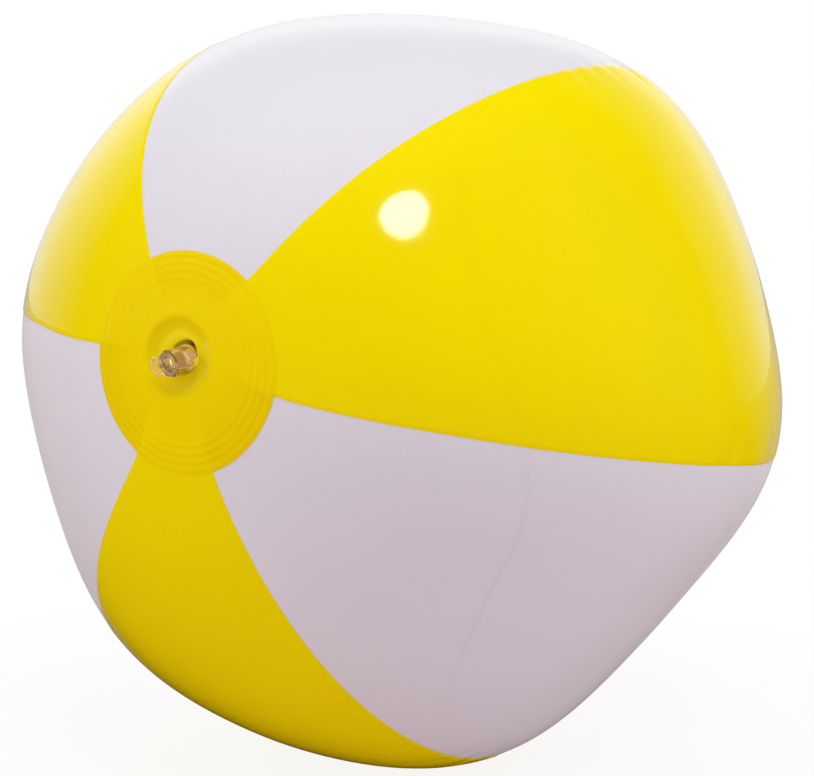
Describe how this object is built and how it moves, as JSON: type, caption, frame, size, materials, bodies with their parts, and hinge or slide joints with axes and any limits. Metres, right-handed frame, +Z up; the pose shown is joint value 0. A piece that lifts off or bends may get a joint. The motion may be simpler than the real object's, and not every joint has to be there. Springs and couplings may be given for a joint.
{
  "type": "inflatable beach ball",
  "caption": "Inflatable beach ball of alternating yellow and white film panels, with film discs over its poles and a plugged, push-in air valve.",
  "frame": {"origin": "on the flat that the ball rests on, straight below the middle of the ball", "axes": "+Z up; the air valve faces -Y"},
  "size_m": [0.267, 0.2586, 0.2565],
  "materials": {
    "yellow_film": "glossy, slightly translucent",
    "white_film": "glossy, slightly translucent",
    "clear_pvc": "clear, soft, glossy"
  },
  "bodies": {
    "ball": {"yellow_panel_right": "yellow_film", "white_panel_top": "white_film", "yellow_panel_left": "yellow_film", "white_panel_left": "white_film", "yellow_panel_base": "yellow_film", "white_panel_right": "white_film", "valve_disc": "yellow_film", "back_disc": "yellow_film", "valve_dish": "yellow_film"},
    "valve": {"valve_stem": "clear_pvc", "strap": "clear_pvc"},
    "plug": {"plug": "clear_pvc"},
    "flap": {"check_flap": "clear_pvc"}
  },
  "joints": [
    {"name": "valve_push", "type": "slide", "parent": "ball", "child": "valve", "axis": [-0.1866, -0.9602, -0.2079], "range_m": [-0.008, 0.004], "deforming": ["valve_dish"]},
    {"name": "plug_pull", "type": "slide", "parent": "valve", "child": "plug", "axis": [-0.1866, -0.9602, -0.2079], "range_m": [0, 0.009], "deforming": ["strap"]},
    {"name": "flap_swing", "type": "hinge", "parent": "valve", "child": "flap", "pos_m": [0.00659, -0.11375, 0.15532], "axis": [0.9816, -0.1908, 0], "range_deg": [0, 60], "stiffness_Nm_per_rad": 0.000005}
  ]
}
